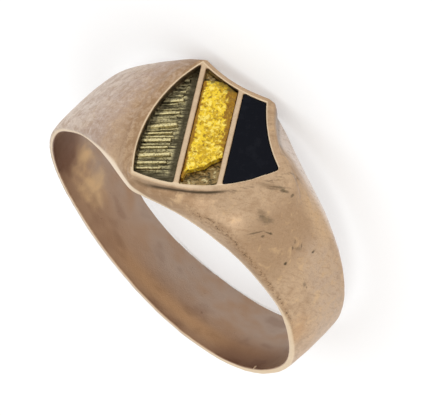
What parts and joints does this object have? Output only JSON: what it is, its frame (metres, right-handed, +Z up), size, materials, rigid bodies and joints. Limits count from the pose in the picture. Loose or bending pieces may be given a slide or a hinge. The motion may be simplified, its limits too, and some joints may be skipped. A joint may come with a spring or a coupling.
{
  "type": "signet ring with an enamelled shield",
  "caption": "Signet ring with a flat shield-shaped face split by slanting bars into a bare engraved cell, a yellow enamel cell and a black enamel cell.",
  "frame": {"origin": "on the finger hole's axis, at the middle of the band's width at the back of the ring", "axes": "+Z up as the ring lies on its side, with the finger axis leaning about 6.7 degrees from it; +Y runs from the shield face to the back of the band; +X along the face"},
  "size_m": [0.02, 0.0215, 0.0095],
  "materials": {
    "rose_gold": "worn satin rose gold with fine scratches and tarnish in the creases",
    "yellow_enamel": "clear yellow enamel over crinkled foil",
    "black_enamel": "glossy black enamel"
  },
  "bodies": {
    "root": {"ring_body": "rose_gold", "yellow_enamel": "yellow_enamel", "black_enamel": "black_enamel"}
  },
  "joints": []
}
